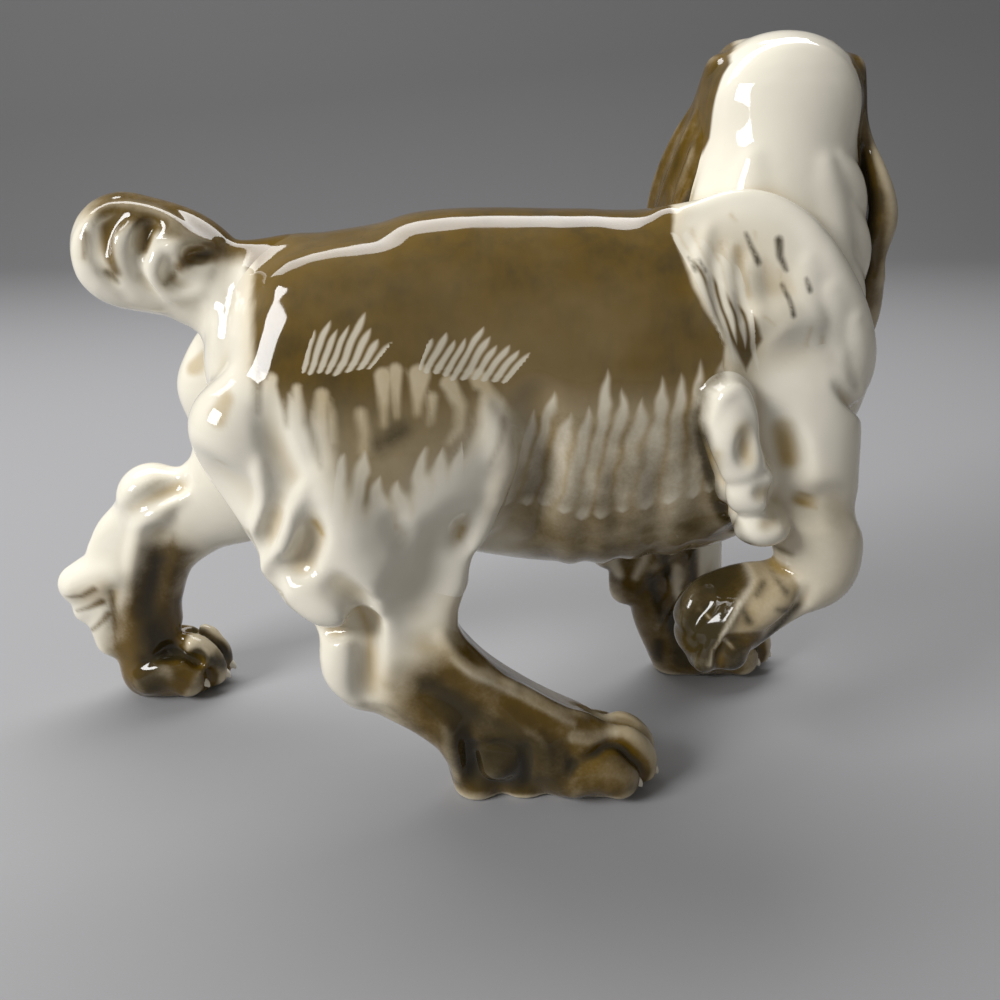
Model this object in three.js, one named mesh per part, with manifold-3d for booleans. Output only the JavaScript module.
// A glazed porcelain spaniel, standing on three paws with its right forepaw raised and its head
// turned to its left. It is modelled as the castings that are luted together with slip before
// firing: a torso with both haunches, a head, two ears, a docked tail and four legs. Millimetres,
// +Z up, +X towards the dog's chest, +Y to the dog's left. The origin is on the ground, under the
// middle of the figure's box.
import * as THREE from "three";
import { mergeVertices } from "three/addons/utils/BufferGeometryUtils.js";
import Module from "manifold-3d";

const wasm = await Module();
wasm.setup();

// Driving dimensions: the joint between two castings
const slipJoint = 0.3;

// Driving dimensions: torso
const backHeight = 128;
const bellyHeight = 49;
const rumpX = -58;
const chestX = 76;
const barrelHalfWidth = 26;
const haunchBulge = 6; // how far a haunch stands out from the barrel
const haunchLength = 64;
const ruffThickness = 13;
const coatLockWidth = 13; // a hanging lock of the coat, at its widest
const rumpKnob = 20; // the bulge of hair behind a haunch, across
const shoulderWidth = 19;

// Driving dimensions: hind legs
const elbowTuck = 5; // the raised foreleg's middle, in from the side of the barrel
const stanceHalfWidth = 24; // from the middle plane to the middle of a paw
const hockHeight = 37;
const hindLegWidth = 17;
const rightHockX = -24;
const rightHindPawX = 23;
const leftHockX = -94;
const leftHindPawX = -85;

// Driving dimensions: forelegs
const forelegWidth = 17;
const leftForepawX = 67;
const wristX = 68;
const wristHeight = 53;
const raisedPawX = 47.5;
const raisedPawHeight = 41;

// Driving dimensions: paws
const pawLength = 24;
const pawWidth = 21;
const pawHeight = 17;
const toeDiameter = 9;

// Driving dimensions: head, ears and tail
const neckWidth = 34;
const headSetback = 15; // middle of the skull behind the breastbone
const headRise = 21; // middle of the skull above the back
const headOffset = 12; // middle of the skull to the left of the middle plane
const headTurn = 80; // degrees to the dog's left
const skullWidth = 33;
const skullDepth = 26;
const muzzleLength = 34;
const muzzleWidth = 19;
const eyeDiameter = 5;
const earLength = 52;
const earWidth = 25;
const earThickness = 5.5;
const tailLength = 32;
const tailDiameter = 23.5;

const { lerp, degToRad } = THREE.MathUtils;
const headX = chestX - headSetback;
const headHeight = backHeight + headRise;
const LATERAL = new THREE.Vector3(0, 1, 0);
const FORWARD = new THREE.Vector3(1, 0, 0);
const SIDES = [-1, 1]; // the dog's right and left
const rightY = -stanceHalfWidth;
const leftY = stanceHalfWidth;

/** One section of a loft: its centre, its half size across the spine's plane and within it. */
const ring = (x, y, z, across, within) => ({ at: new THREE.Vector3(x, y, z), across, within });

/** Turns a closed geometry into a solid that can be joined and cut. */
function solid(geometry) {
  const bare = geometry.clone();
  for (const name of ["normal", "uv"]) bare.deleteAttribute(name);
  const merged = mergeVertices(bare);
  return new wasm.Manifold(
    new wasm.Mesh({
      numProp: 3,
      vertProperties: new Float32Array(merged.attributes.position.array),
      triVerts: new Uint32Array(merged.index.array),
    }),
  );
}

const loftDefaults = {
  side: LATERAL, // the direction across the spine's plane
  around: 12, // points in a section
  steps: 2, // sections from one ring to the next
  grow: 0, // moves the whole skin outwards
  power: 2, // 2 makes ellipses, more makes them squarer
  cap: 0.8, // height of the end caps, as a share of the end's half size
  capRings: 2,
};

/** A closed solid through smooth sections, with a rounded cap at each end. */
function loft(rings, options = {}) {
  const { side, around, steps, grow, power, cap, capRings } = { ...loftDefaults, ...options };
  const path = new THREE.CatmullRomCurve3(rings.map((r) => r.at));
  const girth = new THREE.CatmullRomCurve3(rings.map((r) => new THREE.Vector3(r.across, r.within, 0)));
  const points = [];
  const addSection = (t, scale, shift) => {
    const along = path.getTangent(t);
    const across = side.clone().addScaledVector(along, -side.dot(along)).normalize();
    const within = along.clone().cross(across);
    const size = girth.getPoint(t);
    const reach = cap * Math.min(size.x, size.y) + grow;
    const centre = path.getPoint(t).addScaledVector(along, shift * reach);
    for (let i = 0; i < (scale ? around : 1); i++) {
      const angle = (2 * Math.PI * i) / around;
      const [c, s] = [Math.cos(angle), Math.sin(angle)];
      const round = scale / (Math.abs(c) ** power + Math.abs(s) ** power) ** (1 / power);
      const point = centre.clone().addScaledVector(across, (size.x + grow) * c * round);
      points.push(...point.addScaledVector(within, (size.y + grow) * s * round).toArray());
    }
  };
  const sections = (rings.length - 1) * steps;
  const capAngles = Array.from({ length: capRings }, (_, i) => ((i + 1) * Math.PI) / 2 / (capRings + 1));
  addSection(0, 0, -1);
  for (const angle of capAngles.toReversed()) addSection(0, Math.cos(angle), -Math.sin(angle));
  for (let i = 0; i <= sections; i++) addSection(i / sections, 1, 0);
  for (const angle of capAngles) addSection(1, Math.cos(angle), Math.sin(angle));
  addSection(1, 0, 1);

  const ringCount = sections + 1 + 2 * capRings;
  const last = points.length / 3 - 1;
  const at = (r, i) => 1 + r * around + (i % around);
  const faces = [];
  for (let i = 0; i < around; i++) {
    faces.push(0, at(0, i + 1), at(0, i), last, at(ringCount - 1, i), at(ringCount - 1, i + 1));
    for (let r = 0; r < ringCount - 1; r++) {
      faces.push(at(r, i), at(r, i + 1), at(r + 1, i + 1), at(r, i), at(r + 1, i + 1), at(r + 1, i));
    }
  }
  const geometry = new THREE.BufferGeometry();
  geometry.setAttribute("position", new THREE.Float32BufferAttribute(points, 3));
  return solid(geometry.setIndex(faces));
}

/** A lock of hair: it swells from its root and runs out to a soft tip. */
function lock(points, width, { flat = 0.85, grow = 0 } = {}) {
  const swell = [0.8, 1, 0.92, 0.55];
  const path = new THREE.CatmullRomCurve3(points.map((p) => new THREE.Vector3(...p)));
  const rings = swell.map((share, i) => {
    const { x, y, z } = path.getPoint(i / (swell.length - 1));
    return ring(x, y, z, (flat * share * width) / 2, (share * width) / 2);
  });
  return loft(rings, { around: 8, grow, capRings: 1 });
}

/** A round bulge with its own half size along each axis. */
function knob([x, y, z], [along, across, up], grow = 0) {
  const geometry = new THREE.SphereGeometry(1, 12, 6);
  geometry.scale(along + grow, across + grow, up + grow);
  return solid(geometry.translate(x, y, z));
}

const join = (solids) => solids.reduce((whole, piece) => whole.add(piece));

/** The largest body of a casting: cutting along a skin can leave crumbs, which are fettled off. */
function fettle(casting) {
  return casting.decompose().reduce((most, body) => (body.volume() > most.volume() ? body : most));
}

const alongBody = (share) => lerp(rumpX, chestX, share);

/** The barrel of the body, from the rump to the breastbone. */
function barrel(grow) {
  // Each section is a place, a drop below the back, a rise above the belly and a share of the width.
  const profile = [
    [rumpX + 2, 14, 36, 0.58],
    [rumpX + 12, 5, 24, 0.84],
    [rumpX + 30, 1.5, 11, 0.96],
    [alongBody(0.37), 0, 4.5, 0.98],
    [alongBody(0.54), 0.5, 0, 1],
    [alongBody(0.66), 0.8, 1, 1.02],
    [chestX - 31, 0, 3, 1],
    [chestX - 18, 4, 8.5, 0.92],
    [chestX - 7, 14, 18, 0.72],
  ];
  const rings = profile.map(([x, drop, rise, share]) => {
    const [top, bottom] = [backHeight - drop, bellyHeight + rise];
    return ring(x, 0, (top + bottom) / 2, share * barrelHalfWidth, (top - bottom) / 2);
  });
  return loft(rings, { grow, around: 18, power: 2.25, cap: 0.45 });
}

const hipZ = backHeight - 16;
const haunchSkin = barrelHalfWidth + haunchBulge;

// Each haunch runs from the hip to where its lower leg is luted on.
// Its rump is a share of the way down and a place along the body.
const rightHaunch = {
  side: -1,
  hipX: -31,
  lowX: -28,
  lowZ: hockHeight + 18,
  length: haunchLength,
  rump: [0.42, -23],
};
const leftHaunch = {
  side: 1,
  hipX: -36,
  lowX: -60,
  lowZ: hockHeight + 24,
  length: haunchLength * 0.8,
  rump: [0.51, -18],
};

/** The middle of a haunch at a share of the way down, moved by along towards the chest. */
function haunchSpot({ side, hipX, lowX, lowZ }, share, along, depth) {
  return [lerp(hipX, lowX, share) + along, side * (haunchSkin - depth), lerp(hipZ, lowZ, share)];
}

function haunch(thigh, grow) {
  // Each section is a share of the way down, a half width, a depth under the skin and a length share.
  const sections = [
    [0, 9, 9.5, 0.52],
    [0.25, 11, 3.6, 0.78],
    [0.5, 12, 0.6, 1],
    [0.72, 11.5, 0, 0.84],
    [1, 9.5, 1, 0.62],
  ];
  const rings = sections.map(([share, half, depth, length]) =>
    ring(...haunchSpot(thigh, share, 0, depth + half), half, (length * thigh.length) / 2),
  );
  return loft(rings, { grow, around: 16, power: 2.5, cap: 0.7 });
}

/** The bulges of the rump and the shoulders. */
function bulges(grow) {
  const half = rumpKnob / 2;
  const rumps = [rightHaunch, leftHaunch].map((thigh) =>
    knob(haunchSpot(thigh, ...thigh.rump, haunchSkin - 20), [half * 1.05, half * 1.1, half], grow),
  );
  const reach = shoulderWidth / 2;
  const shoulders = SIDES.map((side) =>
    knob([chestX - 21, side * barrelHalfWidth * 0.54, backHeight - 21.5], [reach * 1.1, reach, reach], grow),
  );
  return [...rumps, ...shoulders];
}

/** The ruff: a thick edge of hair from the withers over the right shoulder to the breastbone. */
function ruff(grow) {
  const half = ruffThickness / 2;
  const top = backHeight - half;
  const rings = [
    ring(chestX - 42, -7, top + 0.5, half * 0.8, half * 0.9),
    ring(chestX - 28, -12, top + 2.5, half, half * 1.1),
    ring(chestX - 17, -15, top - 4.5, half * 1.1, half * 1.2),
    ring(chestX - 8.5, -14, top - 17, half * 1.1, half * 1.2),
    ring(chestX - 4.5, -11, top - 30, half, half),
    ring(chestX - 7, -8, top - 40, half * 0.8, half * 0.7),
  ];
  return loft(rings, { grow });
}

/** Locks of the coat that hang from both haunches and both sides of the belly. */
function coatLocks(grow) {
  // Each haunch lock is a width, a depth and three spots, given like the rump of a haunch.
  const haunchLocks = [rightHaunch, leftHaunch].flatMap((thigh) =>
    [
      [1.4, 5.6, [[0.54, -5.5], [0.75, -2.5], [0.95, 1]]],
      [0.8, 6, [[0.58, -13], [0.8, -17], [0.98, -20]]],
      [1.05, 5.8, [[0.91, -18.5], [1.01, -13], [1.09, -4]]],
      [1, 9.8, [[0.42, 26], [0.63, 25], [0.84, 19]]],
    ].map(([width, depth, spots]) => {
      const points = spots.map(([share, along]) => haunchSpot(thigh, share, along, depth));
      return lock(points, width * coatLockWidth, { grow });
    }),
  );
  // Each belly lock starts at a share of the body's length, and bends back in under the belly.
  const bellyLocks = SIDES.flatMap((side) =>
    [0.48, 0.6, 0.71].map((share) => {
      const spots = [[0, 0.69, 27], [0.015, 0.65, 15], [0.05, 0.5, 5]];
      const points = spots.map(([along, width, rise]) => [
        alongBody(share + along),
        side * barrelHalfWidth * width,
        bellyHeight + rise,
      ]);
      return lock(points, coatLockWidth, { grow });
    }),
  );
  return [...haunchLocks, ...bellyLocks];
}

/** The hollows in front of each thigh and along the flank, which shrink as the skin grows. */
function thighHollows(grow) {
  // Each is a width, a depth and three spots, given like the rump of a haunch.
  return [rightHaunch, leftHaunch].flatMap((thigh) =>
    [
      [1.2, -1.4, [[0.76, 18], [0.87, 14.5], [0.99, 10]]],
      [0.8, 4, [[0.36, 37], [0.55, 36.5], [0.78, 32]]],
    ].map(([width, depth, spots]) => {
      const points = spots.map(([share, along]) => haunchSpot(thigh, share, along, depth));
      return lock(points, width * coatLockWidth, { grow: -grow });
    }),
  );
}

/** The outside of the torso casting, moved outwards by grow to cut what is luted against it. */
function torso(grow) {
  const body = join([
    barrel(grow),
    haunch(rightHaunch, grow),
    haunch(leftHaunch, grow),
    ruff(grow),
    ...bulges(grow),
    ...coatLocks(grow),
  ]);
  return body.subtract(join(thighHollows(grow)));
}

function neck(grow) {
  const foot = new THREE.Vector3(headX - 2, 0, backHeight - 24);
  const top = new THREE.Vector3(headX - 1, headOffset - 4, headHeight - 2.5);
  // Each section is a share of the way up and shares of the neck's width, along and across the body.
  const sections = [
    [0, 1.15, 0.9],
    [0.35, 1.14, 0.88],
    [0.7, 1, 0.86],
    [1, 0.9, 0.82],
  ];
  const rings = sections.map(([share, across, within]) => {
    const { x, y, z } = foot.clone().lerp(top, share);
    return ring(x, y, z, (across * neckWidth) / 2, (within * neckWidth) / 2);
  });
  return loft(rings, { side: FORWARD, grow, around: 16 });
}

// The head has its own frame: +X along the muzzle, with its origin in the middle of the skull.
const headPlace = new THREE.Matrix4()
  .makeRotationZ(degToRad(headTurn))
  .setPosition(headX, headOffset, headHeight);
const skullHalf = skullWidth / 2;
const muzzleHalf = muzzleWidth / 2;
const browX = skullHalf * 0.6;
const noseX = browX + muzzleLength;
const alongMuzzle = (share) => lerp(browX, noseX, share);

/** Skull and muzzle, with the stop between them. */
function skull(grow) {
  const half = skullDepth / 2;
  const rings = [
    ring(-skullHalf * 0.6, 0, -1, skullHalf * 0.8, half * 0.85),
    ring(0, 0, 0, skullHalf, half),
    ring(browX, 0, -0.5, skullHalf * 0.95, half * 0.97),
    ring(alongMuzzle(0.2), 0, -4, skullHalf * 0.76, half * 0.87),
    ring(alongMuzzle(0.44), 0, -6.8, muzzleHalf * 1.06, half * 0.8),
    ring(alongMuzzle(0.7), 0, -7.2, muzzleHalf, half * 0.77),
    ring(alongMuzzle(0.9), 0, -7.2, muzzleHalf * 0.92, half * 0.72),
  ];
  return loft(rings, { grow, around: 16, cap: 0.45 });
}

/** Nose, lips, brows and eyes. */
function faceDetails(grow) {
  const eyeHalf = eyeDiameter / 2;
  const nose = loft(
    [
      ring(noseX - 3, 0, -1.8, muzzleHalf * 0.48, muzzleHalf * 0.36),
      ring(noseX - 0.5, 0, -2.2, muzzleHalf * 0.42, muzzleHalf * 0.32),
    ],
    { grow, around: 8, steps: 1, capRings: 1 },
  );
  const pairs = SIDES.flatMap((side) => [
    lock(
      [
        [alongMuzzle(0.25), side * muzzleHalf * 0.85, -9],
        [alongMuzzle(0.58), side * muzzleHalf * 0.75, -14],
        [alongMuzzle(0.92), side * muzzleHalf * 0.5, -12.5],
      ],
      muzzleHalf,
      { grow },
    ),
    lock(
      [
        [browX - 6, side * skullHalf * 0.58, skullDepth * 0.31],
        [browX, side * skullHalf * 0.6, skullDepth * 0.31],
        [browX + 4, side * skullHalf * 0.52, skullDepth * 0.2],
      ],
      skullHalf * 0.5,
      { grow },
    ),
    loft(
      [
        ring(alongMuzzle(0.12), side * skullHalf * 0.66, 1.5, eyeHalf, eyeHalf),
        ring(alongMuzzle(0.17), side * skullHalf * 0.66, 1.2, eyeHalf, eyeHalf),
      ],
      { grow, around: 8, steps: 1, capRings: 1 },
    ),
  ]);
  return join([nose, ...pairs]);
}

/** The outside of the head casting. */
function head(grow) {
  const face = join([skull(grow), faceDetails(grow)]);
  return join([neck(grow), face.transform(headPlace.elements)]);
}

// Each ear's middle line, as a way out from its root, a drop and a lift away from the shoulder.
const rightEarHang = [
  [-3, -4, 0],
  [-1.5, 0.12, 1],
  [2, 0.29, 2],
  [5.2, 0.48, 3],
  [5, 0.68, 2],
  [7, 0.97, 1],
];
const leftEarHang = [
  [-3, -4, 0],
  [-1.5, 0.08, 2],
  [0.4, 0.2, 4],
  [2.4, 0.4, 10],
  [3, 0.66, 17],
  [4.5, 0.94, 21],
];

/** A long ear that hangs from the side of the skull, flat and broad towards its end. */
function ear(side, hang) {
  const root = new THREE.Vector3(0, side * skullHalf, 1).applyMatrix4(headPlace);
  const outward = new THREE.Vector3(0, side, 0).transformDirection(headPlace);
  const [[inset, rise], ...rest] = hang;
  const points = [root.clone().addScaledVector(outward, inset).add({ x: 0, y: 0, z: -rise })];
  for (const [out, share, lift] of rest) {
    const spot = root.clone().addScaledVector(outward, out);
    points.push(spot.add({ x: 0, y: lift, z: -share * earLength }));
  }
  const path = new THREE.CatmullRomCurve3(points);
  const widths = [0.5, 0.72, 0.95, 1, 0.84, 0.5];
  const rings = widths.map((share, i) => {
    const { x, y, z } = path.getPoint(i / (widths.length - 1));
    return ring(x, y, z, (share * earWidth) / 2, earThickness / 2);
  });
  return loft(rings);
}

/** A standing paw that points along +X, with four toes whose knuckles may be lifted. */
function paw(x, y, lift = 0) {
  const half = pawWidth / 2;
  const pad = loft(
    [
      ring(x - pawLength * 0.42, y, pawHeight * 0.36, half * 0.8, pawHeight * 0.45),
      ring(x, y, pawHeight * 0.4, half * 0.92, pawHeight * 0.52),
      ring(x + pawLength * 0.18, y, pawHeight * 0.36, half * 0.86, pawHeight * 0.48),
    ],
    { steps: 1 },
  );
  const toeHalf = toeDiameter / 2;
  const toes = [-1.5, -0.5, 0.5, 1.5].map((place) => {
    const toeY = y + (place * (pawWidth - toeDiameter)) / 3;
    const outer = Math.abs(place) > 1;
    const tip = x + pawLength / 2 - (outer ? pawLength * 0.2 : 0) - toeHalf;
    const knuckle = pawHeight * (outer ? 0.52 : 0.66) + lift;
    return loft(
      [
        ring(tip - pawLength * 0.42, toeY, knuckle - toeHalf * 0.3, toeHalf, toeHalf * 1.1),
        ring(tip - pawLength * 0.16, toeY, knuckle, toeHalf, toeHalf * 1.12),
        ring(tip, toeY, toeHalf * 0.85, toeHalf * 0.92, toeHalf * 0.95),
      ],
      { around: 8, steps: 1, capRings: 1 },
    );
  });
  return join([pad, ...toes]);
}

/** A lock in the plane of a leg, through spots given from a point of that leg. */
function legLock(x, y, z, spots, width) {
  return lock(spots.map(([dx, dz]) => [x + dx, y, z + dz]), width);
}

/** The stepping hind leg: shank, hock and a long foot with feathered heel. */
function rightHindLeg() {
  const half = hindLegWidth / 2;
  const ankleZ = pawHeight * 0.55;
  const foot = (along, down, width, depth) =>
    ring(
      lerp(rightHockX, rightHindPawX, along),
      rightY,
      lerp(hockHeight, ankleZ, down),
      width * half,
      depth,
    );
  const { lowX, lowZ } = rightHaunch;
  const shank = loft([
    ring(lowX + 3, rightY + 2, lowZ + 2, half, 15),
    ring(rightHockX - 1.5, rightY + 1.5, hockHeight + 9, half * 1.05, 15.5),
    ring(rightHockX + 1, rightY + 1, hockHeight, half * 1.05, 15),
    foot(0.23, 0.34, 1, 12.5),
    foot(0.51, 0.67, 1, 11),
    foot(0.78, 0.9, 1.1, 9.5),
    foot(1, 1, 1.1, pawHeight * 0.5),
  ]);
  const hockPoint = legLock(rightHockX, rightY, hockHeight, [[-4, 5], [-9, -1], [-8, -9]], 17);
  const heelSpots = [[10, hockHeight * 0.65], [15, hockHeight * 0.35], [17, 3]];
  const fringeSpots = [[20, hockHeight * 0.48], [26, hockHeight * 0.24], [28, 2]];
  const heel = legLock(rightHockX, rightY, 0, heelSpots, 18.5);
  const fringe = legLock(rightHockX, rightY, 0, fringeSpots, 17.5);
  return join([shank, hockPoint, heel, fringe, paw(rightHindPawX, rightY)]);
}

/** The hind leg that is left behind, with its pointed hock. */
function leftHindLeg() {
  const half = hindLegWidth / 2;
  const { lowX, lowZ } = leftHaunch;
  const shank = loft([
    ring(lowX - 4, leftY - 3, lowZ - 4, half, 13.5),
    ring(leftHockX + 18, leftY - 2, hockHeight + 16, half, 12.5),
    ring(leftHockX + 6, leftY - 1, hockHeight + 7, half, 11.5),
    ring(leftHockX, leftY - 0.5, hockHeight - 6, half, 11.5),
    ring(leftHockX, leftY, hockHeight - 18, half * 0.95, 10),
    ring(leftHindPawX - 7, leftY, pawHeight * 0.5, half, 9),
  ]);
  const tufts = [
    [[[-2, 2], [-10, -2], [-17, -4.5]], 16],
    [[[-3, -6], [-10, -13], [-9, -22]], 12],
    [[[4, 15], [-3, 10], [-7, 5]], 12],
  ].map(([spots, width]) => legLock(leftHockX, leftY - 1, hockHeight, spots, width));
  const knee = knob([leftHockX + 8, leftY - 2.5, hockHeight + 20.5], [8.8, 9, 8.6]);
  return join([shank, knee, ...tufts, paw(leftHindPawX, leftY, 1.5)]);
}

/** The raised foreleg, folded at the wrist, with the tuft of its elbow. */
function rightForeleg() {
  const half = forelegWidth / 2;
  const y = elbowTuck - barrelHalfWidth;
  const folded = (share) => [lerp(wristX, raisedPawX, share), lerp(wristHeight, raisedPawHeight, share)];
  const [pasternX, pasternZ] = folded(0.68);
  const arm = loft([
    ring(wristX - 10, y + 4, wristHeight + 43, half, 13),
    ring(wristX - 7, y + 1.5, wristHeight + 31, half * 1.05, 13),
    ring(wristX - 3.5, y + 0.5, wristHeight + 18, half, 10.5),
    ring(wristX - 0.5, y, wristHeight + 8, half * 0.95, 9.8),
    ring(wristX, y, wristHeight, half * 0.95, 9),
    ring(wristX - 6, y, wristHeight - 4.5, half * 0.9, 7),
    ring(pasternX, y, pasternZ, half * 0.95, 9.5),
    ring(raisedPawX, y, raisedPawHeight, half, 10.5),
    ring(raisedPawX - 2, y, raisedPawHeight - 4, half * 0.9, 8),
  ]);
  const toes = [-1.5, -0.5, 0.5, 1.5].map((place) => {
    const toeY = y + (place * (forelegWidth - toeDiameter * 0.8)) / 3;
    const setBack = Math.abs(place) > 1 ? 2 : 0;
    return loft(
      [
        ring(raisedPawX + 2, toeY, raisedPawHeight - 2, toeDiameter * 0.45, toeDiameter * 0.55),
        ring(raisedPawX - 2, toeY, raisedPawHeight - 8 + setBack, toeDiameter * 0.42, toeDiameter * 0.5),
      ],
      { around: 8, steps: 1, capRings: 1 },
    );
  });
  const elbow = -barrelHalfWidth;
  const atElbow = (dx, dy, dz) => [wristX + dx, elbow + dy, wristHeight + dz];
  const leaves = [
    lock([atElbow(-25, 0, 41), atElbow(-24, -2.4, 34), atElbow(-22, -2.2, 28)], 12),
    knob(atElbow(-18.6, -1.4, 22), [7, 6.4, 6.2]),
    knob(atElbow(-15.4, -0.8, 14), [6.6, 6.2, 5]),
  ];
  return join([arm, ...toes, ...leaves]);
}

/** The standing foreleg, feathered behind. */
function leftForeleg() {
  const half = forelegWidth / 2;
  const arm = loft([
    ring(leftForepawX - 19, leftY - 7, bellyHeight + 33, half, 14),
    ring(leftForepawX - 20, leftY - 4, bellyHeight + 17, half, 13),
    ring(leftForepawX - 18, leftY - 2, bellyHeight + 1, half, 12),
    ring(leftForepawX - 15, leftY - 1, pawHeight + 18, half, 10),
    ring(leftForepawX - 12, leftY, pawHeight + 4, half * 0.95, 9),
    ring(leftForepawX - 8, leftY, pawHeight * 0.5, half, 8.5),
  ]);
  const feathers = [
    [[-23, 3], [-31, -4], [-39, -11]],
    [[-23, -11], [-30, -17], [-34, -23]],
    [[-24, -20], [-22, -31], [-18, -44]],
  ].map((spots) => legLock(leftForepawX, leftY - 2, bellyHeight, spots, 16));
  return join([arm, ...feathers, paw(leftForepawX, leftY)]);
}

/** The docked tail: a feathered stub with a round end. */
function tail() {
  const half = tailDiameter / 2;
  const root = hipZ; // its middle line starts as high as the hips
  const start = rumpX + half * 1.2;
  const end = start - tailLength;
  const stub = loft(
    [
      ring(start, 0, root, half * 0.8, half * 0.85),
      ring(lerp(start, end, 0.42), 0, root, half * 0.82, half * 0.86),
      ring(lerp(start, end, 0.7), 0, root + 5, half * 0.9, half * 0.96),
      ring(end, 0, root + 7.5, half * 0.9, half),
    ],
    { cap: 1 },
  );
  const locks = [
    [[2, 14], [-5, 6], [-2, -2]],
    [[18, 6], [10, 0], [4, -1]],
  ].map((spots) => legLock(end, -half * 0.6, root, spots, half * 0.9));
  return join([stub, ...locks]);
}

const groundReach = 4 * (chestX - rumpX);
const ground = solid(
  new THREE.BoxGeometry(groundReach, groundReach, groundReach).translate(0, 0, -groundReach / 2),
);
const torsoSeat = torso(slipJoint);
const headSeat = head(slipJoint);

/** A casting that is luted to the torso and cut flat where it stands. */
const luted = (body) => fettle(body.subtract(torsoSeat).subtract(ground));

const white = { color: 0xe9e4d8, roughness: 0.12, metalness: 0 };
const brown = { color: 0x6b5426, roughness: 0.12, metalness: 0 };

/** A named mesh for a casting. */
function casting(name, body, finish) {
  const { vertProperties, triVerts } = body.getMesh();
  const geometry = new THREE.BufferGeometry();
  geometry.setAttribute("position", new THREE.BufferAttribute(new Float32Array(vertProperties), 3));
  geometry.setIndex(new THREE.BufferAttribute(new Uint32Array(triVerts), 1));
  geometry.computeVertexNormals();
  const mesh = new THREE.Mesh(geometry, new THREE.MeshStandardMaterial(finish));
  mesh.name = name;
  return mesh;
}

const figurine = new THREE.Group();
figurine.add(
  casting("torso", fettle(torso(0)), white),
  casting("head", luted(head(0)), white),
  casting("right_ear", luted(ear(-1, rightEarHang).subtract(headSeat)), brown),
  casting("left_ear", luted(ear(1, leftEarHang).subtract(headSeat)), brown),
  casting("tail", luted(tail()), white),
  casting("right_foreleg", luted(rightForeleg()), white),
  casting("left_foreleg", luted(leftForeleg()), white),
  casting("right_hind_leg", luted(rightHindLeg()), white),
  casting("left_hind_leg", luted(leftHindLeg()), white),
);

const middle = new THREE.Box3().setFromObject(figurine).getCenter(new THREE.Vector3());
figurine.position.set(-middle.x, -middle.y, 0);

export default figurine;
